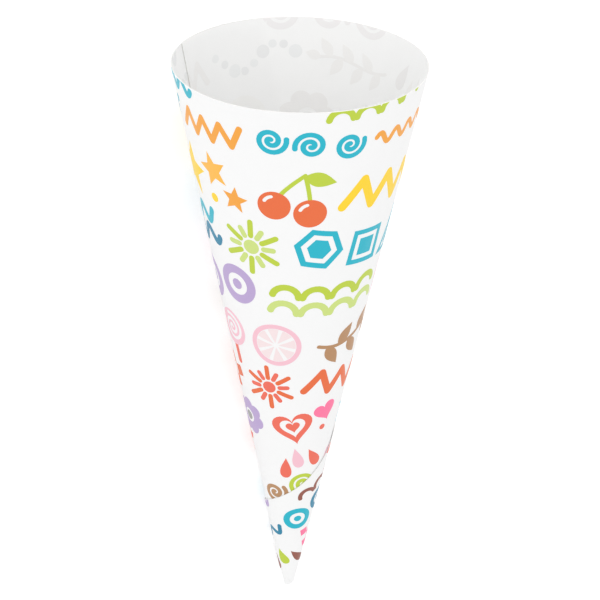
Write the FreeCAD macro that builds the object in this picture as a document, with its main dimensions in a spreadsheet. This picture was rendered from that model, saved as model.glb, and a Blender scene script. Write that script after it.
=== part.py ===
"""Cone paper cup: one flat paper blank rolled about two turns into a pointed cone, lying on its side.

The blank is drawn flat as a sketch, and the solid is that blank rolled up, in millimetres. A place on the
sheet is given by its turn, the degrees it has gone round the axis since the inner free edge, and its slant,
the distance along the wall from the point where the cone would close. The roll is made of half turns. Each
is a true half cone, and its centre steps to the side at each half turn, so that the next layer clears the
last by the gap and the wall stays smooth where two half turns meet.
"""

import FreeCAD
import Part
import Sketcher

import math
import os

# alias, value and what it sets; lengths in mm, angles in degrees
DRIVING_SIZES = (
    ("slant_length", 235.0, "radius of the blank's round edge, which becomes the rim"),
    ("half_angle", 12.0, "between the wall and the axis"),
    ("sheet_thickness", 0.3, "coated paper of about 240 g/m2"),
    ("layer_gap", 0.15, "air between two turns of the rolled sheet"),
    ("rim_turn", 412.0, "how far round the axis the rim goes, so it overlaps itself by what passes 360"),
    ("cut_distance", 41.3, "from the closing point, square to the blank's long outer cut"),
    ("tip_offset", 4.6, "from the closing point, square to the blank's bottom edge"),
    ("bottom_angle", 93.5, "inside the blank's bottom corner, from its bottom edge to its outer cut"),
    ("corner_flat", 0.4, "nipped off the blank's bottom corner, along the roll"),
    ("rest_turn", 45.0, "turn of the side that the cup lies on, where most layers are"),
    ("flat_turn", 10.8, "how far round the axis the flat goes that is pressed where the cup lies"),
)

HALF_TURN = 180.0
GUIDE_STEP = 15.0  # degrees of turn between the points that guide a cut edge
SPARE_TURN = 3.0  # degrees by which a cutting block passes the half turn that it trims

# The start and the end of a sketch's line, the centre of its arc, and its own origin
START, END, CENTRE = 1, 2, 3
X_AXIS = -1

# How the cones' sizes follow from the sheet
TILT = "Sizes.half_angle * 1 deg"
WALL_HEIGHT = "(Sizes.slant_length - Sizes.tip_offset / 2) * cos(%s) * 1 mm" % TILT
FOOT_RADIUS = "(Sizes.tip_offset / 2 * sin(%s) + %%s) * 1 mm" % TILT
RIM_RADIUS = "(Sizes.slant_length * sin(%s) + %%s) * 1 mm" % TILT
OUTWARD = "(%%d / 2 * (Sizes.sheet_thickness + Sizes.layer_gap) + %%s) / cos(%s)" % TILT


def make_sizes(doc):
    """Spreadsheet with the driving sizes, each under its alias."""
    sheet = doc.addObject("Spreadsheet::Sheet", "Sizes")
    for row, (alias, value, meaning) in enumerate(DRIVING_SIZES, start=1):
        sheet.set("A%d" % row, alias)
        sheet.set("B%d" % row, str(value))
        sheet.set("C%d" % row, meaning)
        sheet.setAlias("B%d" % row, alias)
    doc.recompute()
    return sheet


def polar(slant, angle):
    """Point of the flat blank at this distance and angle from the closing point."""
    return FreeCAD.Vector(slant * math.cos(angle), slant * math.sin(angle), 0)


def draw_blank(doc, size):
    """The flat sheet as a closed sketch: inner edge, round rim edge, long outer cut and bottom edge."""
    blank = doc.addObject("Sketcher::SketchObject", "flat_blank")
    rim_angle = math.radians(size.rim_turn) * math.sin(math.radians(size.half_angle))
    cut_normal = rim_angle + math.acos(size.cut_distance / size.slant_length)
    corner_angle = math.radians(size.bottom_angle)
    bottom_normal = cut_normal - corner_angle
    rim_start = polar(size.slant_length, 0)
    rim_corner = polar(size.slant_length, rim_angle)
    past_cut = (size.tip_offset - size.cut_distance * math.cos(corner_angle)) / math.sin(corner_angle)
    bottom_corner = polar(size.cut_distance, cut_normal) + polar(past_cut, cut_normal - math.pi / 2)
    inner_start = polar(size.tip_offset / math.cos(bottom_normal), 0)

    rim_circle = Part.Circle(FreeCAD.Vector(), FreeCAD.Vector(0, 0, 1), size.slant_length)
    inner = blank.addGeometry(Part.LineSegment(inner_start, rim_start))
    rim = blank.addGeometry(Part.ArcOfCircle(rim_circle, 0, rim_angle))
    outer = blank.addGeometry(Part.LineSegment(rim_corner, bottom_corner))
    bottom = blank.addGeometry(Part.LineSegment(bottom_corner, inner_start))
    spoke = blank.addGeometry(Part.LineSegment(FreeCAD.Vector(), rim_corner), True)

    joins = (
        (inner, END, rim, START),
        (rim, END, outer, START),
        (outer, END, bottom, START),
        (bottom, END, inner, START),
        (rim, CENTRE, X_AXIS, START),
        (spoke, START, X_AXIS, START),
        (spoke, END, rim, END),
    )
    for join in joins:
        blank.addConstraint(Sketcher.Constraint("Coincident", *join))
    blank.addConstraint(Sketcher.Constraint("Horizontal", inner))
    blank.addConstraint(Sketcher.Constraint("PointOnObject", inner, END, X_AXIS))

    bound = (
        ("Radius", (rim,), size.slant_length, "Sizes.slant_length * 1 mm"),
        ("Angle", (spoke,), rim_angle, "Sizes.rim_turn * sin(%s) * 1 deg" % TILT),
        ("Distance", (X_AXIS, START, outer), size.cut_distance, "Sizes.cut_distance * 1 mm"),
        ("Distance", (X_AXIS, START, bottom), size.tip_offset, "Sizes.tip_offset * 1 mm"),
        ("Angle", (bottom, START, outer, END), corner_angle, "Sizes.bottom_angle * 1 deg"),
    )
    for kind, where, value, expression in bound:
        index = blank.addConstraint(Sketcher.Constraint(kind, *where, value))
        blank.setExpression("Constraints[%d]" % index, expression)
    doc.recompute()
    outer_cut = (blank.getPoint(outer, START), blank.getPoint(outer, END))
    bottom_cut = (blank.getPoint(bottom, START), blank.getPoint(bottom, END))
    return blank, outer_cut, bottom_cut


class Roll:
    """How high each edge of the blank comes to lie once the sheet is rolled up round +Z, rim upwards."""

    def __init__(self, size, outer_cut, bottom_cut):
        self.size = size
        self.tilt = math.radians(size.half_angle)
        self.outer_cut = outer_cut
        self.bottom_cut = bottom_cut
        corner = bottom_cut[0]
        last_angle = math.atan2(corner.y, corner.x) - size.corner_flat / corner.Length
        self.end_turn = math.degrees(last_angle / math.sin(self.tilt))
        self.bottom_turns = self.guide_turns(-SPARE_TURN)
        self.outer_turns = self.guide_turns(size.rim_turn)
        self.core_radius = size.tip_offset * math.sin(self.tilt) / 4
        self.reach = 1.2 * size.slant_length * math.sin(self.tilt)
        self.side_step = (size.sheet_thickness + size.layer_gap) / math.cos(self.tilt) / 2

    def height_on(self, cut, turn):
        """Height at which a straight cut of the blank passes this turn."""
        angle = math.radians(turn) * math.sin(self.tilt)
        first, second = cut
        along = second - first
        across = math.cos(angle) * along.y - math.sin(angle) * along.x
        slant = (first.x * along.y - first.y * along.x) / across
        return slant * math.cos(self.tilt)

    def outer_height(self, turn):
        return self.height_on(self.outer_cut, turn)

    def bottom_height(self, turn):
        return self.height_on(self.bottom_cut, turn)

    def under_all(self, turn):
        return -self.size.tip_offset

    def over_all(self, turn):
        return 1.1 * self.size.slant_length

    def guide_turns(self, start):
        """Evenly spaced turns from this one to past the end of the roll."""
        end = self.end_turn + SPARE_TURN
        steps = math.ceil((end - start) / GUIDE_STEP)
        return [start + (end - start) * step / steps for step in range(steps + 1)]


def spiral(guide_turns, radius, height_at, first_turn, last_turn):
    """Stretch of the smooth curve through all the guide turns at one distance from the axis."""
    points = []
    for turn in guide_turns:
        azimuth = -math.radians(turn)
        points.append(FreeCAD.Vector(radius * math.cos(azimuth), radius * math.sin(azimuth), height_at(turn)))
    curve = Part.BSplineCurve()
    curve.interpolate(Points=points, Parameters=guide_turns)
    curve.segment(first_turn, last_turn)
    return curve


def ruled_face(first, second):
    """Face swept by a straight line between two curves that have the same guide turns."""
    surface = Part.BSplineSurface()
    surface.buildFromPolesMultsKnots(
        [first.getPoles(), second.getPoles()],
        [2, 2],
        first.getMultiplicities(),
        [0, 1],
        first.getKnots(),
        False,
        False,
        1,
        first.Degree,
    )
    return surface.toShape()


def cutting_block(doc, name, roll, guide_turns, first_turn, last_turn, low_at, high_at):
    """Solid that holds all that lies between two heights over these turns, for cutting the roll's wall."""
    corners = (
        (roll.core_radius, low_at),
        (roll.reach, low_at),
        (roll.reach, high_at),
        (roll.core_radius, high_at),
    )
    curves = [spiral(guide_turns, radius, height_at, first_turn, last_turn) for radius, height_at in corners]
    around = list(zip(curves, curves[1:] + curves[:1]))
    faces = [ruled_face(first, second) for first, second in around]
    for turn in (first_turn, last_turn):
        low_in, low_out, high_out, high_in = (curve.value(turn) for curve in curves)
        faces.append(Part.makeRuledSurface(Part.makeLine(low_in, low_out), Part.makeLine(high_in, high_out)))
    shell = Part.makeShell(faces)
    shell.sewShape()
    solid = Part.makeSolid(shell)
    if solid.Volume < 0:
        solid.reverse()
    block = doc.addObject("Part::Feature", name)
    block.Shape = solid
    return block


def half_cone(doc, name, roll, index, span, lift):
    """Solid cone over one half turn, up to the inside or the outside of the paper."""
    outward = OUTWARD % (index, lift)
    cone = doc.addObject("Part::Cone", name)
    cone.setExpression("Radius1", FOOT_RADIUS % outward)
    cone.setExpression("Radius2", RIM_RADIUS % outward)
    cone.setExpression("Height", WALL_HEIGHT)
    cone.Angle = span
    centre = FreeCAD.Vector(roll.side_step * (index % 2), 0, 0)
    centre.z = roll.size.tip_offset / 2 * math.cos(roll.tilt)
    last_turn = HALF_TURN * index + span
    cone.Placement = FreeCAD.Placement(centre, FreeCAD.Rotation(FreeCAD.Vector(0, 0, 1), -last_turn))
    return cone


def cut(doc, name, base, tool):
    """One object less another."""
    result = doc.addObject("Part::Cut", name)
    result.Base = base
    result.Tool = tool
    return result


def half_turn(doc, roll, index):
    """The paper over one half turn: the space between two cones, trimmed to the blank's edges."""
    number = index + 1
    first_turn = HALF_TURN * index
    span = min(HALF_TURN, roll.end_turn - first_turn)
    last_turn = first_turn + span
    outside = half_cone(doc, "outside_%d" % number, roll, index, span, "Sizes.sheet_thickness")
    inside = half_cone(doc, "inside_%d" % number, roll, index, span, "0")
    wall = cut(doc, "wall_%d" % number, outside, inside)
    start = max(first_turn - SPARE_TURN, roll.bottom_turns[0])
    end = min(last_turn + SPARE_TURN, roll.bottom_turns[-1])
    waste = cutting_block(
        doc, "below_%d" % number, roll, roll.bottom_turns, start, end, roll.under_all, roll.bottom_height
    )
    wall = cut(doc, "trimmed_%d" % number, wall, waste)
    if last_turn > roll.size.rim_turn:
        start = max(start, roll.size.rim_turn)
        waste = cutting_block(
            doc, "beyond_%d" % number, roll, roll.outer_turns, start, end, roll.outer_height, roll.over_all
        )
        wall = cut(doc, "cut_off_%d" % number, wall, waste)
    return wall


def roll_up(doc, roll):
    """All the half turns joined into one sheet, standing on its tip round +Z."""
    count = math.ceil(roll.end_turn / HALF_TURN)
    sheet = doc.addObject("Part::MultiFuse", "rolled_sheet")
    sheet.Shapes = [half_turn(doc, roll, index) for index in range(count)]
    sheet.Refine = True
    doc.recompute()
    return sheet


def lying_on_side(solid, size):
    """Placement that lays the wall at rest_turn on the ground, rim towards +Y, over the box's middle.

    The ground's plane passes through the point where the wall's outer cone would close. It cuts that cone along
    two straight lines flat_turn apart, so the axis rises by a little less than the half angle.
    """
    tilt = math.radians(size.half_angle)
    rise = math.atan(math.tan(tilt) * math.cos(math.radians(size.flat_turn) / 2))
    down = FreeCAD.Vector(0, math.sin(rise), -math.cos(rise))
    axis = FreeCAD.Vector(0, math.cos(rise), math.sin(rise))
    laid = FreeCAD.Rotation(down, axis.cross(down), axis, "ZXY")
    spun = FreeCAD.Rotation(FreeCAD.Vector(0, 0, 1), size.rest_turn)
    placement = FreeCAD.Placement(FreeCAD.Vector(), laid * spun)
    moved = solid.copy()
    moved.Placement = placement
    box = moved.optimalBoundingBox(False)
    full_turns = math.floor((size.rim_turn - size.rest_turn) / (2 * HALF_TURN))
    half_turns = math.floor((size.rest_turn + 2 * HALF_TURN * full_turns) / HALF_TURN)
    outermost = half_turns / 2 * (size.sheet_thickness + size.layer_gap) + size.sheet_thickness
    height = outermost / math.sin(tilt) * math.sin(rise)
    placement.Base = FreeCAD.Vector(-box.Center.x, -box.Center.y, height)
    return placement


def lay_down(doc, sheet, size):
    """The whole cup: the rolled sheet on its side, with a small flat pressed where it meets the ground."""
    sheet.Placement = lying_on_side(sheet.Shape, size)
    ground = doc.addObject("Part::Box", "ground")
    ground.setExpression("Length", "Sizes.slant_length * 1 mm")
    ground.setExpression("Width", "2 * Sizes.slant_length * 1 mm")
    ground.setExpression("Height", "4 * Sizes.sheet_thickness * 1 mm")
    doc.recompute()
    corner = FreeCAD.Vector(-ground.Length.Value / 2, -ground.Width.Value / 2, -ground.Height.Value)
    ground.Placement = FreeCAD.Placement(corner, FreeCAD.Rotation())
    cup = cut(doc, "cone_cup", sheet, ground)
    cup.Label = "cone_cup"
    doc.recompute()
    return cup


def check(doc, cup, blank, size):
    """Stops on a failed object or a bad solid, and prints whether rolling has kept all the paper."""
    for item in doc.Objects:
        if "Invalid" in item.State or "Error" in item.State:
            raise RuntimeError("%s failed: %s" % (item.Label, item.State))
    shape = cup.Shape
    if shape.isNull() or not shape.isValid() or len(shape.Solids) != 1:
        raise RuntimeError("%s is not one valid solid" % cup.Label)
    flat_volume = Part.Face(blank.Shape.Wires[0]).Area * size.sheet_thickness
    print("volume %.0f mm3, flat blank %.0f mm3" % (shape.Volume, flat_volume))
    box = shape.optimalBoundingBox(False)
    print("box %.1f x %.1f x %.1f mm" % (box.XLength, box.YLength, box.ZLength))


def main():
    doc = FreeCAD.newDocument("cone_cup")
    size = make_sizes(doc)
    blank, outer_cut, bottom_cut = draw_blank(doc, size)
    sheet = roll_up(doc, Roll(size, outer_cut, bottom_cut))
    cup = lay_down(doc, sheet, size)
    check(doc, cup, blank, size)
    os.makedirs("parts", exist_ok=True)
    cup.Shape.exportStep("parts/%s.step" % cup.Label)


main()
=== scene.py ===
"""Cone paper cup: one printed sheet rolled about two turns into a pointed cone, lying on its side.

The sheet is drawn flat, with its print, and then rolled up. A place on the flat sheet has x and y in metres
from the point where the cone would close. Once it is rolled, the same place is given by its turn, the degrees
it has gone round since the inner free edge, and its slant, the distance along the wall from the closing point.
"""

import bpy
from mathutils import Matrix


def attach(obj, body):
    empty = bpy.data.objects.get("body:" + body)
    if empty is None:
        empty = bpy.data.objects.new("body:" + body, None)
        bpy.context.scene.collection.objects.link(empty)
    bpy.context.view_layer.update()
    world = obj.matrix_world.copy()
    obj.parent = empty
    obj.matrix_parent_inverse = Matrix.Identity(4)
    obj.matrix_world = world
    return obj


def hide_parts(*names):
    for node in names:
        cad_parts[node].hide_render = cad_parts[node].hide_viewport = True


bl_info = {
    "name": "Cone paper cup",
    "version": (1, 0, 0),
    "blender": (4, 5, 0),
    "location": "3D View > Sidebar > Paper cup",
    "description": "Rolls a printed paper sheet into a cone cup and lights it",
    "category": "Object",
}

import math

import bpy
import numpy as np
from bpy.props import FloatProperty, FloatVectorProperty, IntProperty, PointerProperty
from mathutils import Matrix, Vector
from mathutils.geometry import delaunay_2d_cdt

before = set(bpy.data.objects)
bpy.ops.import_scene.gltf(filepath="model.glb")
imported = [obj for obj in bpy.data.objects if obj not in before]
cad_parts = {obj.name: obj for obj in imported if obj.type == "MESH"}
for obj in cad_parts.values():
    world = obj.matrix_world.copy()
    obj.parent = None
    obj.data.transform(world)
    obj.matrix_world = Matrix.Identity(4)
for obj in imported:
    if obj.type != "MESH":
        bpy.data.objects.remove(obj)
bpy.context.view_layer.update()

MM = 0.001
HALF_TURN = 180.0
FULL_TURN = 360.0
GROUND_CLEARANCE = 0.05 * MM
THROUGH_PROUD = 0.06 * MM  # how far the print that shows through stands off the inside
LUMINANCE = (0.2126, 0.7152, 0.0722)

# Printing inks, from warm to cool, as linear colours
INKS = {
    "orange": (0.92, 0.38, 0.045),
    "amber": (0.98, 0.50, 0.06),
    "yellow": (1.0, 0.68, 0.02),
    "vermilion": (0.83, 0.155, 0.045),
    "coral": (0.87, 0.155, 0.10),
    "pink": (1.0, 0.19, 0.37),
    "pale_pink": (0.93, 0.55, 0.64),
    "blush": (0.92, 0.77, 0.78),
    "lavender": (0.50, 0.38, 0.65),
    "teal": (0.01, 0.47, 0.60),
    "blue": (0.015, 0.225, 0.375),
    "lime": (0.52, 0.65, 0.05),
    "pale_green": (0.62, 0.75, 0.225),
    "brown": (0.48, 0.26, 0.125),
    "wine": (0.305, 0.10, 0.07),
    "grey": (0.35, 0.35, 0.35),
}
INK_NAMES = tuple(INKS)
BARE = "bare"


class CupSizes(bpy.types.PropertyGroup):
    """Sizes of the sheet and of the roll, as in the part's own source."""

    slant_length: FloatProperty(
        name="Slant length", description="Radius of the sheet's round edge", default=235 * MM, unit="LENGTH"
    )
    half_angle: FloatProperty(
        name="Half angle", description="Between the wall and the axis", default=math.radians(12), subtype="ANGLE"
    )
    thickness: FloatProperty(
        name="Paper", description="Thickness of the coated paper", default=0.3 * MM, unit="LENGTH"
    )
    layer_gap: FloatProperty(
        name="Gap", description="Air between two turns", default=0.15 * MM, unit="LENGTH"
    )
    rim_turn: FloatProperty(
        name="Rim turn", description="How far round the rim goes", default=math.radians(412), subtype="ANGLE"
    )
    cut_distance: FloatProperty(
        name="Outer cut", description="Closing point to the long outer cut", default=41.3 * MM, unit="LENGTH"
    )
    tip_offset: FloatProperty(
        name="Bottom edge", description="Closing point to the sheet's bottom edge", default=4.6 * MM, unit="LENGTH"
    )
    bottom_angle: FloatProperty(
        name="Corner", description="From bottom edge to outer cut", default=math.radians(93.5), subtype="ANGLE"
    )
    corner_flat: FloatProperty(
        name="Corner flat", description="Nipped off the bottom corner", default=0.4 * MM, unit="LENGTH"
    )
    rest_turn: FloatProperty(
        name="Rest turn", description="Side that the cup lies on", default=math.radians(45), subtype="ANGLE"
    )
    flat_turn: FloatProperty(
        name="Flat", description="How far round the flat goes", default=math.radians(10.8), subtype="ANGLE"
    )
    closing_point: FloatVectorProperty(
        name="Closing point",
        description="Where the cone would close",
        default=(0.19634 * MM, -119.754 * MM, 0.746814 * MM),
        subtype="TRANSLATION",
    )
    rim_swell: FloatProperty(
        name="Rim swell", description="How far the rim strays from round", default=0.12 * MM, unit="LENGTH"
    )


class SheetFinish(bpy.types.PropertyGroup):
    """Colours and detail of the paper and its print."""

    outside: FloatVectorProperty(
        name="Outside", description="Coated printed side", default=(0.93, 0.93, 0.93), subtype="COLOR"
    )
    inside: FloatVectorProperty(
        name="Inside", description="Uncoated side", default=(0.90, 0.90, 0.895), subtype="COLOR"
    )
    cut_edge: FloatVectorProperty(
        name="Cut edge", description="Bare fibres at the edge", default=(0.80, 0.79, 0.77), subtype="COLOR"
    )
    show_through: FloatProperty(
        name="Show-through", description="How much print shows inside", default=0.11, min=0, max=1
    )
    greyed: FloatProperty(
        name="Greyed", description="How grey the print looks through the paper", default=0.85, min=0, max=1
    )
    # Painted shade: the inside is made darker where a second layer lies behind it, in place of the light that would
    # come through the paper
    doubled_painted_shade: FloatProperty(
        name="Doubled", description="How much darker two layers are inside", default=0.02, min=0, max=1
    )
    ink_proud: FloatProperty(
        name="Ink", description="How far the ink stands proud", default=0.04 * MM, unit="LENGTH"
    )
    ink_depth: FloatProperty(
        name="Ink depth", description="Thickness of the ink", default=0.08 * MM, unit="LENGTH"
    )
    ink_inset: FloatProperty(
        name="Ink inset", description="How far the ink stays from a cut edge", default=0.12 * MM, unit="LENGTH"
    )
    paper_rows: IntProperty(name="Rows of paper", description="Rows of faces along the slant", default=112)


class StageLight(bpy.types.PropertyGroup):
    """Camera, lamps and floor."""

    lens: FloatProperty(name="Lens", description="In millimetres on a 36 mm sensor", default=267.46)
    sky: FloatProperty(name="Sky", description="Strength of the even light from all round", default=0.96)
    upper_power: FloatProperty(name="Upper lamp", description="Above the cup", default=0.7, unit="POWER")
    mouth_power: FloatProperty(name="Mouth lamp", description="In front of the mouth", default=4.0, unit="POWER")
    floor_grey: FloatProperty(name="Floor", description="How pale the floor is", default=0.95, min=0, max=1)
    floor_seen: FloatProperty(name="Floor seen", description="The same, to the camera", default=0.64, min=0, max=1)
    floor_glow: FloatProperty(name="Floor glow", description="Its own light, to the camera", default=0.5)


class Sheet:
    """The flat sheet, and where each place on it comes to lie once it is rolled up."""

    def __init__(self, sizes):
        self.slant_length = sizes.slant_length
        self.thickness = sizes.thickness
        self.pitch = sizes.thickness + sizes.layer_gap
        self.sin, self.cos = math.sin(sizes.half_angle), math.cos(sizes.half_angle)
        self.rim_turn = math.degrees(sizes.rim_turn)
        rim_angle = sizes.rim_turn * self.sin
        self.cut_normal = rim_angle + math.acos(sizes.cut_distance / sizes.slant_length)
        self.bottom_normal = self.cut_normal - sizes.bottom_angle
        self.cut_distance = sizes.cut_distance
        self.tip_offset = sizes.tip_offset
        past_cut = sizes.tip_offset - sizes.cut_distance * math.cos(sizes.bottom_angle)
        past_cut /= math.sin(sizes.bottom_angle)
        corner_slant = math.hypot(sizes.cut_distance, past_cut)
        corner_angle = self.cut_normal - math.atan2(past_cut, sizes.cut_distance)
        self.end_turn = math.degrees((corner_angle - sizes.corner_flat / corner_slant) / self.sin)
        self.swell = sizes.rim_swell
        rise = math.atan(math.tan(sizes.half_angle) * math.cos(sizes.flat_turn / 2))
        down = Vector((0, math.sin(rise), -math.cos(rise)))
        axis = Vector((0, math.cos(rise), math.sin(rise)))
        laid = Matrix((down, axis.cross(down), axis)).transposed()
        self.turned = np.array(laid @ Matrix.Rotation(sizes.rest_turn, 3, "Z"))
        self.moved = np.array(sizes.closing_point)
        self.axis = np.array(axis)

    def angle(self, turn):
        """Angle on the flat sheet, in radians."""
        return np.radians(turn) * self.sin

    def top(self, turn):
        """Slant of the rim, and past its end of the long outer cut."""
        beyond = np.maximum(turn, self.rim_turn)
        cut = self.cut_distance / np.cos(self.angle(beyond) - self.cut_normal)
        return np.where(turn <= self.rim_turn, self.slant_length, cut)

    def bottom(self, turn):
        """Slant of the sheet's bottom edge."""
        return self.tip_offset / np.cos(self.angle(turn) - self.bottom_normal)

    def flat(self, turn, slant):
        """Place on the flat sheet."""
        angle = self.angle(turn)
        return np.stack([slant * np.cos(angle), slant * np.sin(angle)], axis=-1)

    def rolled(self, spots):
        """Turn and slant of places on the flat sheet."""
        angle = np.arctan2(spots[:, 1], spots[:, 0])
        return np.degrees(angle / self.sin), np.hypot(spots[:, 0], spots[:, 1])

    def inside_by(self, spots):
        """How far inside the sheet's straight and round edges each place is, with a minus outside."""
        cut = np.array([math.cos(self.cut_normal), math.sin(self.cut_normal)])
        bottom = np.array([math.cos(self.bottom_normal), math.sin(self.bottom_normal)])
        edges = [
            self.cut_distance - spots @ cut,
            spots @ bottom - self.tip_offset,
            spots[:, 1],
            self.slant_length - np.hypot(spots[:, 0], spots[:, 1]),
        ]
        return np.min(edges, axis=0)

    def upright(self, turn, slant, lift):
        """Place in the roll as it stands on its tip. Each half turn has its own centre and radius."""
        half = np.clip(np.floor(turn / HALF_TURN), 0, math.floor(self.end_turn / HALF_TURN))
        radius = slant * self.sin + (half / 2 * self.pitch + lift) / self.cos
        azimuth = -np.radians(turn)
        stray = np.cos(2 * azimuth + 0.6) + 0.6 * np.cos(3 * azimuth + 2.0) + 0.35 * np.cos(5 * azimuth)
        radius = radius + self.swell * stray * (slant / self.slant_length) ** 2
        side = (half % 2) * self.pitch / self.cos / 2
        return np.stack([radius * np.cos(azimuth) + side, radius * np.sin(azimuth), slant * self.cos], axis=-1)

    def laid(self, places):
        """The same places in the cup as it lies."""
        return places @ self.turned.T + self.moved

    def place(self, turn, slant, lift):
        """Place in the lying cup. The whole wall is raised where its outermost layer would pass the ground."""
        places = self.laid(self.upright(turn, slant, lift))
        outermost = turn.copy()
        for _ in range(2):
            further = outermost + FULL_TURN
            covered = (further <= self.end_turn) & (self.top(further) >= slant)
            outermost = np.where(covered, further, outermost)
        ground = self.laid(self.upright(outermost, slant, self.thickness))[:, 2]
        places[:, 2] += np.maximum(0, GROUND_CLEARANCE - ground)
        return places

    def outward(self, places):
        """Direction square to the wall, away from the axis."""
        from_tip = places - self.moved
        across = from_tip - np.outer(from_tip @ self.axis, self.axis)
        across /= np.linalg.norm(across, axis=1)[:, None]
        return across * self.cos - self.axis * self.sin


# Outlines, in millimetres round the motif's own middle, x to the right and y towards the rim


def resample(points, step):
    """The closed outline with no edge longer than the step."""
    out = []
    for start, end in zip(points, np.roll(points, -1, axis=0)):
        count = max(1, math.ceil(np.linalg.norm(end - start) / step))
        out += [start + (end - start) * k / count for k in range(count)]
    return np.array(out)


def disc(x, y, radius):
    count = max(12, int(radius * 9))
    angle = np.linspace(0, 2 * math.pi, count, endpoint=False)
    return np.stack([x + radius * np.cos(angle), y + radius * np.sin(angle)], axis=1)


def band(points, width):
    """Stroke with round ends along a run of points."""
    points = np.asarray(points, float)
    along = np.gradient(points, axis=0)
    along /= np.linalg.norm(along, axis=1)[:, None]
    across = np.stack([-along[:, 1], along[:, 0]], axis=1)
    widths = np.broadcast_to(np.asarray(width, float), len(points)) / 2
    left = points + across * widths[:, None]
    right = points - across * widths[:, None]
    caps = []
    for point, direction, half in ((points[-1], along[-1], widths[-1]), (points[0], -along[0], widths[0])):
        start = math.atan2(direction[1], direction[0]) + math.pi / 2
        turns = start - np.linspace(0, math.pi, 8)[1:-1]
        caps.append(point + half * np.stack([np.cos(turns), np.sin(turns)], axis=1))
    return np.concatenate([left, caps[0], right[::-1], caps[1]])


def bar(x0, y0, x1, y1, width):
    steps = np.linspace(0, 1, max(2, int(math.hypot(x1 - x0, y1 - y0) / 2) + 1))[:, None]
    return band(np.array([x0, y0]) * (1 - steps) + np.array([x1, y1]) * steps, width)


def arc(x, y, radius, start, end, width):
    count = max(6, int(abs(end - start) / 360 * radius * 7))
    angle = np.radians(np.linspace(start, end, count))
    return band(np.stack([x + radius * np.cos(angle), y + radius * np.sin(angle)], axis=1), width)


def leaf(x, y, length, width, direction):
    """Pointed leaf from its stalk end."""
    t = np.linspace(0, 1, 14)
    bulge = width / 2 * np.sin(math.pi * t ** 0.8)
    outline = np.concatenate([np.stack([t * length, bulge], 1), np.stack([t * length, -bulge], 1)[-2:0:-1]])
    return spun(outline, direction) + (x, y)


def spun(points, degrees):
    angle = math.radians(degrees)
    turn = np.array([[math.cos(angle), math.sin(angle)], [-math.sin(angle), math.cos(angle)]])
    return np.asarray(points) @ turn


def drop(x, y, size, direction):
    t = np.linspace(0, 2 * math.pi, 26, endpoint=False)
    outline = np.stack([size * np.cos(t), 0.62 * size * np.sin(t) * np.sin(t / 2) ** 1.4], axis=1)
    return spun(outline, direction) + (x, y)


def heart(x, y, size):
    t = np.linspace(0, 2 * math.pi, 40, endpoint=False)
    across = 16 * np.sin(t) ** 3
    up = 13 * np.cos(t) - 5 * np.cos(2 * t) - 2 * np.cos(3 * t) - np.cos(4 * t)
    return np.stack([across, up], axis=1) * size / 32 + (x, y)


def star(x, y, points, outer, inner, start=90):
    angle = np.radians(start + np.arange(2 * points) * 180 / points)
    radius = np.where(np.arange(2 * points) % 2 == 0, outer, inner)
    return np.stack([x + radius * np.cos(angle), y + radius * np.sin(angle)], axis=1)


def spiral(x, y, outer, turns, width, start=0):
    t = np.linspace(0, 1, int(turns * 26))
    angle = np.radians(start) + t * turns * 2 * math.pi
    radius = outer * (0.08 + 0.92 * t)
    return band(np.stack([x + radius * np.cos(angle), y + radius * np.sin(angle)], axis=1), width)


# Motifs. Each gives its width and its outlines with their inks, the later ones on top


def waves(inks, width=34, rise=4.6, stroke=2.3):
    across = np.linspace(-width / 2, width / 2, 60)
    out = []
    for k, ink in enumerate(inks):
        level = (k - (len(inks) - 1) / 2) * 6.6
        out.append((band(np.stack([across, level + rise / 2 * np.sin(across * 0.72 + k)], 1), stroke), ink))
    return width + 2, out


def zigzag(inks, width=33, height=8.5, stroke=2.7, corners=8):
    across = np.linspace(-width / 2, width / 2, corners)
    out = []
    for k, ink in enumerate(inks):
        level = (k - (len(inks) - 1) / 2) * 7.2
        up = np.where(np.arange(corners) % 2, height / 2, -height / 2) + level
        for j in range(corners - 1):
            out.append((bar(across[j], up[j], across[j + 1], up[j + 1], stroke), ink))
    return width + 2, out


def rings(inks, count=2, radius=6.6, stroke=2.9):
    pitch = 2 * radius + 1.8
    out = []
    for k in range(count):
        x = (k - (count - 1) / 2) * pitch
        y = 0.9 if k % 2 else -0.9
        ink = inks[k % len(inks)]
        out += [(disc(x, y, radius), ink), (disc(x, y, radius - stroke), BARE), (disc(x, y, radius * 0.27), ink)]
    return pitch * count, out


def sweet(inks, radius=6.6):
    body, wrap, stripe = (inks * 3)[:3]
    out = []
    for side in (-1, 1):
        fan = np.array([(radius * 0.8, 0), (radius * 1.95, 6.4), (radius * 1.72, 2.8), (radius * 2.1, 0.2),
                        (radius * 1.72, -2.6), (radius * 1.95, -6.4)])
        out.append((fan * (side, 1), wrap))
    out.append((disc(0, 0, radius), body))
    for k in (-1, 0, 1):
        out.append((arc(k * 4.0 - 9, 0, 10, -26, 26, 1.5), stripe if k else BARE))
    return radius * 4.2, out


def citrus(inks, radius=8.2, pieces=8):
    rind, flesh = (inks * 2)[:2]
    out = [(disc(0, 0, radius), rind), (disc(0, 0, radius - 1.6), BARE)]
    for k in range(pieces):
        edge = [(0.0, 0.0)]
        for a in np.radians(np.linspace(-0.42, 0.42, 7) * FULL_TURN / pieces):
            edge.append(((radius - 2.7) * math.cos(a), (radius - 2.7) * math.sin(a)))
        out.append((spun(np.array(edge) + (0.9, 0), FULL_TURN / pieces * k + 10), flesh))
    return radius * 2 + 1, out


def lolly(inks, radius=6.6):
    sugar, stick = (inks * 2)[:2]
    out = [(bar(0.2, 0, 1.4, -radius - 3.4, 2.0), stick), (disc(0, 2.6, radius), sugar)]
    out.append((spiral(0, 2.6, radius - 1.4, 2.2, 1.2, 40), BARE))
    return radius * 2 + 1, out


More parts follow.
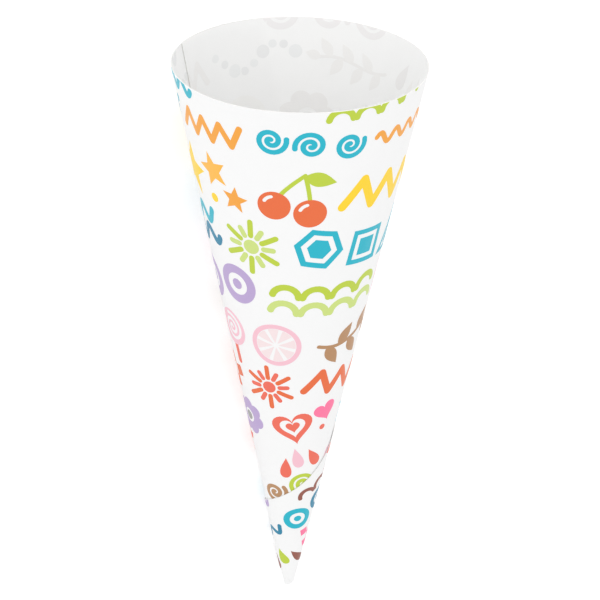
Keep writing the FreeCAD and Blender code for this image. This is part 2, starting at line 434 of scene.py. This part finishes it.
def flower(inks, petals=7, reach=8.2):
    petal, middle = (inks * 2)[:2]
    out = []
    for k in range(petals):
        a = 2 * math.pi * k / petals + 0.3
        out.append((disc(reach * 0.64 * math.cos(a), reach * 0.64 * math.sin(a), reach * 0.36), petal))
    for share, ink in ((0.62, petal), (0.38, BARE), (0.25, middle)):
        out.append((disc(0, 0, reach * share), ink))
    return reach * 2 + 1, out


def hearts(inks):
    big, small = (inks * 2)[:2]
    return 29, [
        (heart(-5, 0, 16), big),
        (heart(-5, 0.2, 10), BARE),
        (heart(-5, 0.3, 5.5), big),
        (heart(9, 2.5, 10), small),
        (disc(6.2, -5.0, 1.3), big),
    ]


def sprig(inks, length=30):
    stem, leaves = (inks * 2)[:2]
    t = np.linspace(-length / 2, length / 2, 24)
    rise = 2.0 * np.sin(t * 0.16)
    out = [(band(np.stack([t, rise], 1), 1.3), stem)]
    for k in range(6):
        x = -length / 2 + 3 + k * length / 6.8
        out.append((leaf(x, 2.0 * math.sin(x * 0.16), 8.6, 4.4, 56 if k % 2 else -56), leaves))
    out.append((leaf(length / 2 - 0.5, rise[-1], 6.5, 4.0, 12), leaves))
    return length + 6, out


def bunting(inks, flags=5, width=42):
    t = np.linspace(-width / 2, width / 2, 40)
    sag = 7.5 - 4.0 * np.cos(t / width * math.pi)
    out = [(band(np.stack([t, sag], 1), 1.1), inks[0])]
    for k in range(flags):
        x = (k - (flags - 1) / 2) * width / flags
        y = 7.5 - 4.0 * math.cos(x / width * math.pi)
        out.append((np.array([(x - 3.8, y), (x + 3.8, y), (x, y - 10.5)]), inks[k % len(inks)]))
    return width + 1, out


def stars(inks):
    first, second, third = (inks * 3)[:3]
    return 31, [
        (star(-7.5, 0, 5, 8.2, 3.7, 80), first),
        (star(5.5, 3.2, 5, 5.6, 2.5, 100), second),
        (star(11.5, -4.6, 5, 4.2, 1.9, 75), third),
        (disc(3.5, -5.8, 1.4), first),
    ]


def drops(inks, count=4):
    out = []
    for k in range(count):
        x = (k - (count - 1) / 2) * 7.2
        out.append((drop(x, 2.0 if k % 2 else -2.0, 6.2, 70 + 12 * k), inks[k % len(inks)]))
    return count * 7.2 + 2, out


def sprinkles(inks, count=11, width=34):
    out = []
    for k in range(count):
        x, y = -width / 2 + width * (k + 0.5) / count, 6.0 * math.sin(k * 2.4)
        a = k * 1.9 + 0.4
        dx, dy = 2.4 * math.cos(a), 2.4 * math.sin(a)
        out.append((bar(x - dx, y - dy, x + dx, y + dy, 2.1), inks[k % len(inks)]))
    return width + 2, out


def burst(inks, rays=12, reach=8.6):
    out = []
    for k in range(rays):
        a = 2 * math.pi * k / rays
        c, s = math.cos(a), math.sin(a)
        far = reach if k % 2 else reach * 0.76
        out.append((bar(3.9 * c, 3.9 * s, far * c, far * s, 1.7), inks[k % len(inks)]))
    out.append((disc(0, 0, 2.4), inks[0]))
    return reach * 2 + 2, out


def scallops(inks, count=4, radius=4.4, stroke=2.1):
    width = count * 2 * radius
    out = []
    for j, ink in enumerate(inks):
        level = (j - (len(inks) - 1) / 2) * 5.8 - 2.6
        for k in range(count):
            x = (k - (count - 1) / 2) * 2 * radius
            out.append((arc(x, level, radius - stroke / 2 + 0.5, 8, 172, stroke), ink))
    return width + 2, out


def curls(inks, count=3):
    out = []
    for k in range(count):
        x = (k - (count - 1) / 2) * 15.2
        out.append((spiral(x, 0, 6.1, 1.8, 2.1, 90 + 180 * (k % 2)), inks[k % len(inks)]))
    return count * 15.2 + 1, out


def cherries(inks):
    fruit, stem = (inks * 2)[:2]
    out = []
    for x, y in ((-4.8, -3.4), (5.0, -4.8)):
        t = np.linspace(0, 1, 14)
        out.append((band(np.stack([x + (2.6 - x) * t ** 1.6, y + (7.5 - y) * t], 1), 1.2), stem))
        out += [(disc(x, y, 4.5), fruit), (arc(x, y, 2.9, 110, 160, 1.0), BARE)]
    out.append((leaf(2.6, 7.2, 9, 4.6, -14), stem))
    return 23, out


def blocks(inks, count=3, reach=7.4, wall=2.0):
    """Outlined hexagon, square and triangle with a filling."""
    line, filling = (inks * 2)[:2]
    pitch = 2 * reach + 0.8
    out = []
    for k in range(count):
        corners, start, size, down = ((6, 0, 1.0, 0), (4, 45, 1.1, 0), (3, 90, 1.25, 1.4))[k % 3]
        angle = np.radians(start + np.arange(corners) * FULL_TURN / corners)
        shape = np.stack([np.cos(angle), np.sin(angle)], 1) * reach * size
        middle = ((k - (count - 1) / 2) * pitch, -down)
        for share, ink in ((1, line), (1 - wall / reach, BARE), (1 - 1.9 * wall / reach, filling)):
            out.append((shape * share + middle, ink))
    return pitch * count, out


def checks(inks, columns=6, rows=3, size=4.4):
    out = []
    for i in range(columns):
        for j in range(rows):
            if (i + j) % 2:
                continue
            x, y = (i - columns / 2) * size, (j - rows / 2) * size
            square = np.array([(x, y), (x + size, y), (x + size, y + size), (x, y + size)])
            out.append((square, inks[(i // 2) % len(inks)]))
    return columns * size + 1.5, out


def beads(inks, count=9, pitch=4.3):
    out = []
    for k in range(count):
        x = (k - (count - 1) / 2) * pitch
        out.append((disc(x, 4.4 * math.sin(k * 0.9), 1.7 if k % 3 else 2.7), inks[k % len(inks)]))
    return count * pitch + 1, out


def fan(inks, blades=7, reach=15):
    out = []
    for k in range(blades):
        out.append((leaf(0, -6.8, reach, 4.6, 24 + k * 132 / (blades - 1)), inks[k % len(inks)]))
    out.append((arc(0, -6.8, 3.4, 12, 168, 1.4), BARE))
    return 28, out


# Rows of the print from the rim down: the row's slant in millimetres, its scale, the degrees on the flat sheet
# at which it starts, its least gap in millimetres, and the motifs that repeat, each with its inks and sizes
ROWS = (
    (237, 1.25, 3, 58, ((curls, ("pink",)), (scallops, ("lime", "teal")), (waves, ("teal", "blue")))),
    (219, 1.0, -6, 2.5, ((zigzag, ("orange",)), (beads, ("teal", "blue")), (sprig, ("orange", "amber")),
                         (drops, ("amber", "vermilion")), (waves, ("orange",)), (curls, ("teal",)))),
    (195, 1.42, -2, 2.5, ((rings, ("yellow",)), (flower, ("orange", "brown")), (checks, ("grey",)),
                          (zigzag, ("yellow",)), (cherries, ("vermilion", "lime")),
                          (stars, ("yellow", "amber", "orange")))),
    (170, 1.35, -5, 2.5, ((fan, ("teal", "blue")), (curls, ("pale_green",)), (blocks, ("teal", "teal")),
                          (burst, ("pale_green", "lime")), (waves, ("blue", "teal")))),
    (147, 1.32, -4, 2.5, ((blocks, ("lavender", "blush")), (sweet, ("pink", "pale_pink", "coral")),
                          (scallops, ("pale_green", "lime")), (rings, ("lavender",)),
                          (hearts, ("pink", "pale_pink")))),
    (125, 1.2, -8, 2.5, ((lolly, ("pale_pink", "coral")), (bunting, ("brown", "wine", "orange")),
                         (sprig, ("brown", "brown")), (citrus, ("pale_pink", "blush")))),
    (105, 1.1, -2, 2.5, ((checks, ("vermilion",)), (citrus, ("orange", "amber")), (zigzag, ("vermilion",)),
                         (burst, ("coral", "vermilion")))),
    (87, 1.0, -6, 2.5, ((waves, ("vermilion", "coral"), 26), (stars, ("teal", "lime", "blue")),
                        (hearts, ("coral", "pink")), (flower, ("lavender", "grey")))),
    (69.5, 0.8, -3, 2, ((sprig, ("pale_pink", "coral"), 24), (blocks, ("pale_pink", "blush"), 2),
                        (drops, ("coral", "pale_pink"), 3))),
    (55, 0.8, -8, 2, ((sprinkles, ("grey", "coral"), 7, 20), (scallops, ("wine",), 3), (curls, ("brown", "lime"), 2))),
    (42, 0.78, 0, 2, ((rings, ("teal", "blue")), (waves, ("lavender",), 22), (zigzag, ("teal",), 24))),
    (30, 0.7, -10, 2, ((waves, ("blue",), 20), (stars, ("blue", "teal", "pink")), (checks, ("pink", "blue"), 4))),
    (18, 0.6, 0, 1.5, ((drops, ("wine", "lime"), 3), (zigzag, ("wine",), 17, 8.5, 2.7, 5))),
)
LEVEL_ABOVE, LEAN_BELOW, MOST_LEAN = 110.0, 55.0, 30.0  # slants in mm, and degrees
LEAST_GAP = 0.9 * MM  # between two motifs
SLIDE, MOST_SLIDES = 1.2, 30  # in mm along the row, to keep that gap


def winding(spots, outline):
    """How many times the outline goes round each spot."""
    x, y = spots[:, 0, None], spots[:, 1, None]
    x0, y0 = outline[:, 0], outline[:, 1]
    x1, y1 = np.roll(x0, -1), np.roll(y0, -1)
    side = (x1 - x0) * (y - y0) - (x - x0) * (y1 - y0)
    up = (y0 <= y) & (y1 > y) & (side > 0)
    down = (y0 > y) & (y1 <= y) & (side < 0)
    return up.sum(axis=1) - down.sum(axis=1)


class Layout:
    """The whole print on the flat sheet: each motif's outlines, in metres, in rows that follow the rim."""

    def __init__(self, sheet):
        self.sheet = sheet
        self.motifs = []
        for k, (slant, scale, start, gap, row) in enumerate(ROWS):
            angle = math.radians(start)
            n = 0
            while angle < sheet.angle(sheet.end_turn):
                make, inks, *sizes = row[n % len(row)]
                width, outlines = make(inks, *sizes)
                step = (width * scale + gap) / slant
                lean = MOST_LEAN * min(1, max(0, (LEVEL_ABOVE - slant) / (LEVEL_ABOVE - LEAN_BELOW)))
                lean += 5 * math.sin(2.3 * k + 1.7 * n)
                raised = slant + scale * math.sin(1.3 * n + k)
                turned = [(spun(outline * scale, lean) + (0, raised), ink) for outline, ink in outlines]
                placed = self.set_down(turned, angle + step / 2)
                for _ in range(MOST_SLIDES):
                    if self.clear(placed):
                        break
                    angle += SLIDE / slant
                    placed = self.set_down(turned, angle + step / 2)
                self.keep(placed)
                angle += step
                n += 1

    def set_down(self, turned, middle):
        """A motif's outlines on the flat sheet, in metres."""
        right = np.array([math.sin(middle), -math.cos(middle)]) * MM
        up = np.array([math.cos(middle), math.sin(middle)]) * MM
        return [(spots[:, :1] * right + spots[:, 1:] * up, ink) for spots, ink in turned]

    def clear(self, placed):
        """Whether a motif keeps its distance from those already printed."""
        spots = np.concatenate([resample(outline, LEAST_GAP) for outline, _ in placed])
        low, high = spots.min(axis=0) - LEAST_GAP, spots.max(axis=0) + LEAST_GAP
        for motif in self.motifs:
            others = np.concatenate([outline for outline, _ in motif])
            if (others.max(axis=0) < low).any() or (others.min(axis=0) > high).any():
                continue
            if np.linalg.norm(spots[:, None] - others, axis=2).min() < LEAST_GAP:
                return False
        return True

    def keep(self, placed):
        """Prints a motif that is at least partly on the sheet."""
        spots = np.concatenate([outline for outline, _ in placed])
        if (self.sheet.inside_by(spots) > 0).any() and (spots[:, 0] > -self.sheet.slant_length).all():
            self.motifs.append(placed)


def edge_runs(sheet, inset, step):
    """The flat sheet's own outline as short edges, moved inwards a little."""
    turns = np.linspace(0, sheet.rim_turn, 200)
    rim = sheet.flat(turns, np.full(len(turns), sheet.slant_length))
    last = np.array([sheet.end_turn])
    first = np.array([0.0])
    outline = [rim, sheet.flat(last, sheet.top(last)), sheet.flat(last, sheet.bottom(last))]
    outline = resample(np.concatenate(outline + [sheet.flat(first, sheet.bottom(first))]), step)
    along = np.roll(outline, -1, axis=0) - np.roll(outline, 1, axis=0)
    along /= np.linalg.norm(along, axis=1)[:, None]
    return outline + inset * np.stack([-along[:, 1], along[:, 0]], axis=1)


def filled(placed, sheet, edge, inset):
    """Triangles of one motif's ink on the flat sheet, cut off at the sheet's edges."""
    outlines = np.concatenate([outline for outline, _ in placed])
    low, high = outlines.min(axis=0), outlines.max(axis=0)
    slant = max(np.hypot(*((low + high) / 2)), 12 * MM)
    step = 1.9 * MM * math.sqrt(slant / sheet.slant_length)
    spots, edges = [], []
    for outline, _ in placed:
        fine = resample(outline, step)
        first = len(spots)
        spots += list(fine)
        edges += [(first + k, first + (k + 1) % len(fine)) for k in range(len(fine))]
    near = ((edge > low - 2 * MM) & (edge < high + 2 * MM)).all(axis=1)
    for k in np.nonzero(near)[0]:
        following = (k + 1) % len(edge)
        edges.append((len(spots), len(spots) + 1))
        spots += [edge[k], edge[following]]
    across, along = np.meshgrid(np.arange(low[0], high[0], step), np.arange(low[1], high[1], step))
    grid = np.stack([across.ravel(), along.ravel()], axis=1)
    owned = np.zeros(len(grid), bool)
    for outline, _ in placed:
        owned |= winding(grid, outline) != 0
    spots += list(grid[owned])
    verts, _, faces, *_ = delaunay_2d_cdt([Vector(spot) for spot in spots], edges, [], 0, 1e-7, False)
    verts = np.array([tuple(v) for v in verts])
    faces = np.array([face for face in faces if len(face) == 3])
    middles = verts[faces].mean(axis=1)
    inks = np.full(len(faces), -1)
    for outline, ink in placed:
        within = winding(middles, outline) != 0
        inks[within] = -1 if ink == BARE else INK_NAMES.index(ink)
    inks[sheet.inside_by(middles) <= inset] = -1
    faces, inks = faces[inks >= 0], inks[inks >= 0]
    used, again = np.unique(faces, return_inverse=True)
    return verts[used], again.reshape(faces.shape), inks


def new_material(name, colour, roughness):
    material = bpy.data.materials.new(name)
    material.use_nodes = True
    shader = material.node_tree.nodes["Principled BSDF"]
    shader.inputs["Base Color"].default_value = (*colour, 1)
    shader.inputs["Roughness"].default_value = roughness
    return material


def fibre_group():
    """Shader group: fibres and clouding of paper, as a shade, a roughness change and a height."""
    if "Paper fibres" in bpy.data.node_groups:
        return bpy.data.node_groups["Paper fibres"]
    group = bpy.data.node_groups.new("Paper fibres", "ShaderNodeTree")
    for name, value in (("Fibre scale", 900.0), ("Clouding", 0.01), ("Roughness", 0.5), ("Roughness change", 0.1)):
        group.interface.new_socket(name, in_out="INPUT", socket_type="NodeSocketFloat").default_value = value
    for name in ("Shade", "Roughness", "Height"):
        group.interface.new_socket(name, in_out="OUTPUT", socket_type="NodeSocketFloat")
    nodes, links = group.nodes, group.links
    given, result = nodes.new("NodeGroupInput"), nodes.new("NodeGroupOutput")
    where = nodes.new("ShaderNodeTexCoord")
    fibres = nodes.new("ShaderNodeTexNoise")
    fibres.inputs["Detail"].default_value = 4
    fibres.inputs["Distortion"].default_value = 1.6
    links.new(where.outputs["Object"], fibres.inputs["Vector"])
    links.new(given.outputs["Fibre scale"], fibres.inputs["Scale"])
    clouds = nodes.new("ShaderNodeTexNoise")
    clouds.inputs["Scale"].default_value = 140
    clouds.inputs["Detail"].default_value = 3
    links.new(where.outputs["Object"], clouds.inputs["Vector"])

    def maths(operation, first, second, third=None):
        node = nodes.new("ShaderNodeMath")
        node.operation = operation
        for socket, value in zip(node.inputs, (first, second, third)):
            if isinstance(value, (int, float)):
                socket.default_value = value
            elif value is not None:
                links.new(value, socket)
        return node.outputs[0]

    both = maths("ADD", fibres.outputs["Fac"], clouds.outputs["Fac"])
    centred = maths("SUBTRACT", both, 1.0)
    links.new(maths("MULTIPLY_ADD", centred, given.outputs["Clouding"], 1.0), result.inputs["Shade"])
    rough = maths("MULTIPLY_ADD", centred, given.outputs["Roughness change"], given.outputs["Roughness"])
    links.new(rough, result.inputs["Roughness"])
    links.new(fibres.outputs["Fac"], result.inputs["Height"])
    return group


def add_fibres(material, scale, clouding, roughness, change, height, depth):
    """Puts the fibres into a material. Returns the group, whose Shade a patterned colour may use."""
    tree = material.node_tree
    shader = tree.nodes["Principled BSDF"]
    fibres = tree.nodes.new("ShaderNodeGroup")
    fibres.node_tree = fibre_group()
    for name, value in (
        ("Fibre scale", scale), ("Clouding", clouding), ("Roughness", roughness), ("Roughness change", change)
    ):
        fibres.inputs[name].default_value = value
    bump = tree.nodes.new("ShaderNodeBump")
    bump.inputs["Strength"].default_value = height
    bump.inputs["Distance"].default_value = depth
    tree.links.new(fibres.outputs["Roughness"], shader.inputs["Roughness"])
    tree.links.new(fibres.outputs["Height"], bump.inputs["Height"])
    tree.links.new(bump.outputs["Normal"], shader.inputs["Normal"])
    return fibres


def shaded(tree, colour, shade):
    """A colour or a colour socket, made lighter and darker by a shade socket."""
    node = tree.nodes.new("ShaderNodeMix")
    node.data_type = "RGBA"
    node.blend_type = "MULTIPLY"
    node.inputs["Factor"].default_value = 1
    if isinstance(colour, bpy.types.NodeSocket):
        tree.links.new(colour, node.inputs[6])
    else:
        node.inputs[6].default_value = (*colour, 1)
    tree.links.new(shade, node.inputs[7])
    return node.outputs[2]


# Fibres of each finish: their scale, clouding, roughness and its change, and their relief's strength and depth
COATED_FIBRES = (1300, 0.02, 0.46, 0.12, 0.12, 0.04 * MM)
BARE_FIBRES = (800, 0.02, 0.72, 0.12, 0.2, 0.04 * MM)
CUT_FIBRES = (2600, 0.12, 0.85, 0.1, 0.5, 0.05 * MM)
INK_FIBRES = (1300, 0.02, 0.38, 0.14, 0.12, 0.04 * MM)
COATED_SHINE, BARE_SHINE, CUT_SHINE, INK_SHINE = 0.35, 0.2, 0.1, 0.4


def paper_material(name, colour, fibres, shine, marked=None):
    """Fibrous paper of one colour, darkened by an attribute where one is named; on the inside that attribute is
    painted shade.
    """
    material = new_material(name, colour, fibres[2])
    shade = add_fibres(material, *fibres).outputs["Shade"]
    tree = material.node_tree
    shader = tree.nodes["Principled BSDF"]
    shader.inputs["Specular IOR Level"].default_value = shine
    colour = shaded(tree, colour, shade)
    if marked:
        attribute = tree.nodes.new("ShaderNodeAttribute")
        attribute.attribute_name = marked
        colour = shaded(tree, colour, attribute.outputs["Color"])
    tree.links.new(colour, shader.inputs["Base Color"])
    return material


def through_material(name, finish):
    """Bare paper darkened by the ink on its other side."""
    ink = Vector(INKS[name])
    grey = ink.dot(LUMINANCE)
    seen = Vector((grey, grey, grey)).lerp(ink, 1 - finish.greyed)
    colour = [paper * (1 - finish.show_through * (1 - part)) for paper, part in zip(finish.inside, seen)]
    return paper_material("through_" + name, colour, BARE_FIBRES, BARE_SHINE)


def ink_material(name):
    material = new_material("ink_" + name, INKS[name], INK_FIBRES[2])
    add_fibres(material, *INK_FIBRES)
    material.node_tree.nodes["Principled BSDF"].inputs["Specular IOR Level"].default_value = INK_SHINE
    return material


def alone(obj):
    """Selects one object and makes it active."""
    bpy.ops.object.select_all(action="DESELECT")
    obj.select_set(True)
    bpy.context.view_layer.objects.active = obj


def thicken(obj, thickness, materials_apart):
    """Gives a surface its thickness, inwards."""
    alone(obj)
    bpy.ops.object.modifier_add(type="SOLIDIFY")
    solidify = obj.modifiers[-1]
    solidify.thickness = thickness
    solidify.offset = -1
    solidify.use_even_offset = False
    if materials_apart:
        solidify.material_offset = 1
        solidify.material_offset_rim = 2
    bpy.ops.object.modifier_apply(modifier=solidify.name)


def settle_looks(obj, sheet, reach):
    """Smooth shading across the wall, from the cone's own direction, with crisp edges."""
    mesh = obj.data
    corners = np.zeros(len(mesh.loops), int)
    mesh.loops.foreach_get("vertex_index", corners)
    places = np.zeros(len(mesh.vertices) * 3)
    mesh.vertices.foreach_get("co", places)
    outward = sheet.outward(places.reshape(-1, 3))
    faces = np.zeros(len(mesh.polygons) * 3)
    mesh.polygons.foreach_get("normal", faces)
    faces = faces.reshape(-1, 3)
    counts = np.zeros(len(mesh.polygons), int)
    mesh.polygons.foreach_get("loop_total", counts)
    of_corner = np.repeat(faces, counts, axis=0)
    wall = outward[corners]
    along = (of_corner * wall).sum(axis=1)
    normals = np.where(np.abs(along)[:, None] > reach, wall * np.sign(along)[:, None], of_corner)
    mesh.shade_smooth()
    mesh.normals_split_custom_set([tuple(n) for n in normals])


class RollSheet(bpy.types.Operator):
    """Rolls the paper sheet up into the cup"""

    bl_idname = "paper_cup.roll_sheet"
    bl_label = "Roll the sheet"

    def execute(self, context):
        scene = context.scene
        sheet, finish = Sheet(scene.cup_sizes), scene.cup_finish
        turns = np.arange(0, sheet.end_turn, 3.0)
        turns = np.unique(np.append(turns[turns < sheet.end_turn - 1], [sheet.rim_turn, sheet.end_turn]))
        columns, rows = len(turns) - 1, finish.paper_rows
        bpy.ops.mesh.primitive_grid_add(x_subdivisions=columns, y_subdivisions=rows, size=2, location=(0, 0, 0))
        cup = context.object
        cup.name = cup.data.name = "paper_cone"
        mesh = cup.data
        co = np.zeros(len(mesh.vertices) * 3)
        mesh.vertices.foreach_get("co", co)
        co = co.reshape(-1, 3)
        # the first column is the end of the roll, so that the faces look outwards once rolled
        column = np.rint((1 - co[:, 0]) / 2 * columns).astype(int)
        share = (co[:, 1] + 1) / 2
        turn = turns[column]
        slant = sheet.bottom(turn) + share * (sheet.top(turn) - sheet.bottom(turn))
        co = sheet.place(turn, slant, np.full(len(turn), sheet.thickness))
        mesh.vertices.foreach_set("co", co.ravel())
        self.mark_layers(mesh, sheet, finish, turn, slant)
        mesh.materials.clear()
        for material in (
            paper_material("coated_paper", finish.outside, COATED_FIBRES, COATED_SHINE),
            # the inside paper carries painted shade where a second layer lies behind it
            paper_material("bare_paper", finish.inside, BARE_FIBRES, BARE_SHINE, "second_layer_painted_shade"),
            paper_material("cut_paper", finish.cut_edge, CUT_FIBRES, CUT_SHINE),
        ):
            mesh.materials.append(material)
        thicken(cup, sheet.thickness, True)
        settle_looks(cup, sheet, 0.7)
        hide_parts("cone_cup")
        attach(cup, "root")
        return {"FINISHED"}

    def mark_layers(self, mesh, sheet, finish, turn, slant):
        """Stores on each place the painted shade of the inside where a second layer lies behind it, standing in for
        the light that comes through one layer of paper but less through two.
        """
        behind = sheet.flat(turn + FULL_TURN, slant)
        # painted shade, fading in over 4 mm from the edge of the second layer behind
        doubled_painted_shade = np.clip(sheet.inside_by(behind) / (4 * MM), 0, 1)
        doubled_painted_shade[turn + FULL_TURN > sheet.end_turn] = 0
        shade = np.repeat(1 - finish.doubled_painted_shade * doubled_painted_shade, 4)
        shade[3::4] = 1
        mesh.attributes.new("second_layer_painted_shade", "FLOAT_COLOR", "POINT").data.foreach_set("color", shade)


def add_print(context, name, lift, depth, materials, last_turn):
    """Adds all the print as one piece, at a height over the inner side of the sheet."""
    scene = context.scene
    sheet, finish = Sheet(scene.cup_sizes), scene.cup_finish
    edge = edge_runs(sheet, finish.ink_inset, 1.5 * MM)
    spots, faces, inks, count = [], [], [], 0
    for placed in Layout(sheet).motifs:
        some_spots, some_faces, some_inks = filled(placed, sheet, edge, finish.ink_inset)
        some_turns = sheet.rolled(some_spots)[0]
        shown = some_turns[some_faces].min(axis=1) < last_turn
        spots.append(some_spots)
        faces.append(some_faces[shown] + count)
        inks.append(some_inks[shown])
        count += len(some_spots)
    spots, faces, inks = np.concatenate(spots), np.concatenate(faces), np.concatenate(inks)
    used, again = np.unique(faces, return_inverse=True)
    spots, faces = spots[used], again.reshape(faces.shape)
    turn, slant = sheet.rolled(spots)
    places = sheet.place(turn, slant, np.full(len(turn), lift))
    mesh = bpy.data.meshes.new(name)
    mesh.from_pydata(places.tolist(), [], faces.tolist())
    for material in materials:
        mesh.materials.append(material)
    mesh.polygons.foreach_set("material_index", inks)
    mesh.update()
    ink = bpy.data.objects.new(name, mesh)
    context.collection.objects.link(ink)
    thicken(ink, depth, False)
    settle_looks(ink, sheet, 0.5)
    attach(ink, "root")


class PrintSheet(bpy.types.Operator):
    """Prints the rows of motifs on the outside of the rolled sheet"""

    bl_idname = "paper_cup.print_sheet"
    bl_label = "Print the sheet"

    def execute(self, context):
        finish = context.scene.cup_finish
        lift = context.scene.cup_sizes.thickness + finish.ink_proud
        materials = [ink_material(name) for name in INK_NAMES]
        add_print(context, "print", lift, finish.ink_depth, materials, math.inf)
        return {"FINISHED"}


class ShowThrough(bpy.types.Operator):
    """Adds the print that shows faintly through the paper inside the mouth"""

    bl_idname = "paper_cup.show_through"
    bl_label = "Show the print through"

    def execute(self, context):
        finish = context.scene.cup_finish
        lift = finish.ink_depth - THROUGH_PROUD
        materials = [through_material(name, finish) for name in INK_NAMES]
        add_print(context, "print_through", lift, finish.ink_depth, materials, FULL_TURN + 2)
        return {"FINISHED"}


class SetStage(bpy.types.Operator):
    """Sets the camera, the lamps and the white floor"""

    bl_idname = "paper_cup.set_stage"
    bl_label = "Set the stage"

    def execute(self, context):
        scene = context.scene
        sheet, stage = Sheet(scene.cup_sizes), scene.cup_stage
        self.add_floor(stage)
        self.add_light(context, stage)
        self.add_camera(context, sheet, stage)
        scene.view_settings.view_transform = "Standard"
        return {"FINISHED"}

    def add_floor(self, stage):
        bpy.ops.mesh.primitive_plane_add(size=8, location=(0, 0, 0))
        floor = bpy.context.object
        floor.name = "floor"
        material = new_material("pale_floor", (stage.floor_grey,) * 3, 0.9)
        tree = material.node_tree
        shader = tree.nodes["Principled BSDF"]
        shader.inputs["Specular IOR Level"].default_value = 0
        path = tree.nodes.new("ShaderNodeLightPath")
        lift = tree.nodes.new("ShaderNodeMath")
        lift.operation = "MULTIPLY"
        lift.inputs[1].default_value = stage.floor_glow
        tree.links.new(path.outputs["Is Camera Ray"], lift.inputs[0])
        shader.inputs["Emission Color"].default_value = (1, 1, 1, 1)
        tree.links.new(lift.outputs[0], shader.inputs["Emission Strength"])
        seen = tree.nodes.new("ShaderNodeMix")
        seen.data_type = "RGBA"
        seen.inputs[6].default_value = (*(stage.floor_grey,) * 3, 1)
        seen.inputs[7].default_value = (*(stage.floor_seen,) * 3, 1)
        tree.links.new(path.outputs["Is Camera Ray"], seen.inputs["Factor"])
        tree.links.new(seen.outputs[2], shader.inputs["Base Color"])
        floor.data.materials.append(material)

    def add_light(self, context, stage):
        world = bpy.data.worlds.new("white room")
        world.use_nodes = True
        context.scene.world = world
        tree = world.node_tree
        background = tree.nodes["Background"]
        background.inputs["Color"].default_value = (1, 1, 1, 1)
        path = tree.nodes.new("ShaderNodeLightPath")
        mix = tree.nodes.new("ShaderNodeMix")
        mix.inputs[2].default_value = stage.sky
        mix.inputs[3].default_value = 1.0
        tree.links.new(path.outputs["Is Camera Ray"], mix.inputs[0])
        tree.links.new(mix.outputs[0], background.inputs["Strength"])
        for name, place, target, size, power in (
            ("upper lamp", (-0.55, 0.35, 1.1), (0, 0, 0.05), 1.2, stage.upper_power),
            ("mouth lamp", (-0.15, 1.1, 0.6), (0, 0.1, 0.05), 0.9, stage.mouth_power),
        ):
            bpy.ops.object.light_add(type="AREA", location=place)
            lamp = context.object
            lamp.name = name
            lamp.data.shape = "DISK"
            lamp.data.size = size
            lamp.data.energy = power
            lamp.rotation_mode = "QUATERNION"
            lamp.rotation_quaternion = (lamp.location - Vector(target)).to_track_quat("Z", "Y")

    def add_camera(self, context, sheet, stage):
        """Camera found by fitting the photograph's rim and outlines, in radii of the rim."""
        radius = 49.3 * MM
        elevation, roll = math.radians(24.95), math.radians(-1.307)
        off_right, off_up, distance = 0.00246, 1.8287, 34.49
        first_azimuth = 158.8
        # the camera's directions round the cup as it stands on its tip, x to the right and y away
        ahead = np.array([0, math.cos(elevation), -math.sin(elevation)])
        up = np.array([0, math.sin(elevation), math.cos(elevation)])
        side = np.array([1.0, 0, 0])
        right = side * math.cos(roll) - up * math.sin(roll)
        upward = side * math.sin(roll) + up * math.cos(roll)
        spin = math.radians(first_azimuth)
        to_roll = np.array([[math.cos(spin), math.sin(spin), 0], [-math.sin(spin), math.cos(spin), 0], [0, 0, 1]])
        turn = sheet.turned @ to_roll
        right, upward, ahead = turn @ right, turn @ upward, turn @ ahead
        rim = sheet.moved + sheet.axis * sheet.slant_length * sheet.cos
        eye = rim - radius * (off_right * right + off_up * upward + distance * ahead)
        bpy.ops.object.camera_add()
        camera = context.object
        camera.name = "camera"
        camera.data.sensor_width = 36
        camera.data.lens = stage.lens
        camera.data.clip_start, camera.data.clip_end = 0.05, 20
        basis = Matrix((right, upward, -ahead)).transposed().to_4x4()
        camera.matrix_world = Matrix.Translation(eye) @ basis
        context.scene.camera = camera


class PaperCupPanel(bpy.types.Panel):
    """Lists the steps of making the cup and their sizes"""

    bl_idname = "VIEW3D_PT_paper_cup"
    bl_label = "Cone paper cup"
    bl_space_type = "VIEW_3D"
    bl_region_type = "UI"
    bl_category = "Paper cup"

    def draw(self, context):
        for settings in (context.scene.cup_sizes, context.scene.cup_finish, context.scene.cup_stage):
            box = self.layout.box()
            for name in settings.__annotations__:
                box.prop(settings, name)
        for operator in (RollSheet, PrintSheet, ShowThrough, SetStage):
            self.layout.operator(operator.bl_idname)


CLASSES = (CupSizes, SheetFinish, StageLight, RollSheet, PrintSheet, ShowThrough, SetStage, PaperCupPanel)


def register():
    for cls in CLASSES:
        bpy.utils.register_class(cls)
    bpy.types.Scene.cup_sizes = PointerProperty(type=CupSizes)
    bpy.types.Scene.cup_finish = PointerProperty(type=SheetFinish)
    bpy.types.Scene.cup_stage = PointerProperty(type=StageLight)


def unregister():
    del bpy.types.Scene.cup_stage
    del bpy.types.Scene.cup_finish
    del bpy.types.Scene.cup_sizes
    for cls in reversed(CLASSES):
        bpy.utils.unregister_class(cls)


def main():
    register()
    bpy.ops.paper_cup.roll_sheet()
    bpy.ops.paper_cup.print_sheet()
    bpy.ops.paper_cup.show_through()
    bpy.ops.paper_cup.set_stage()


if __name__ == "__main__":
    main()
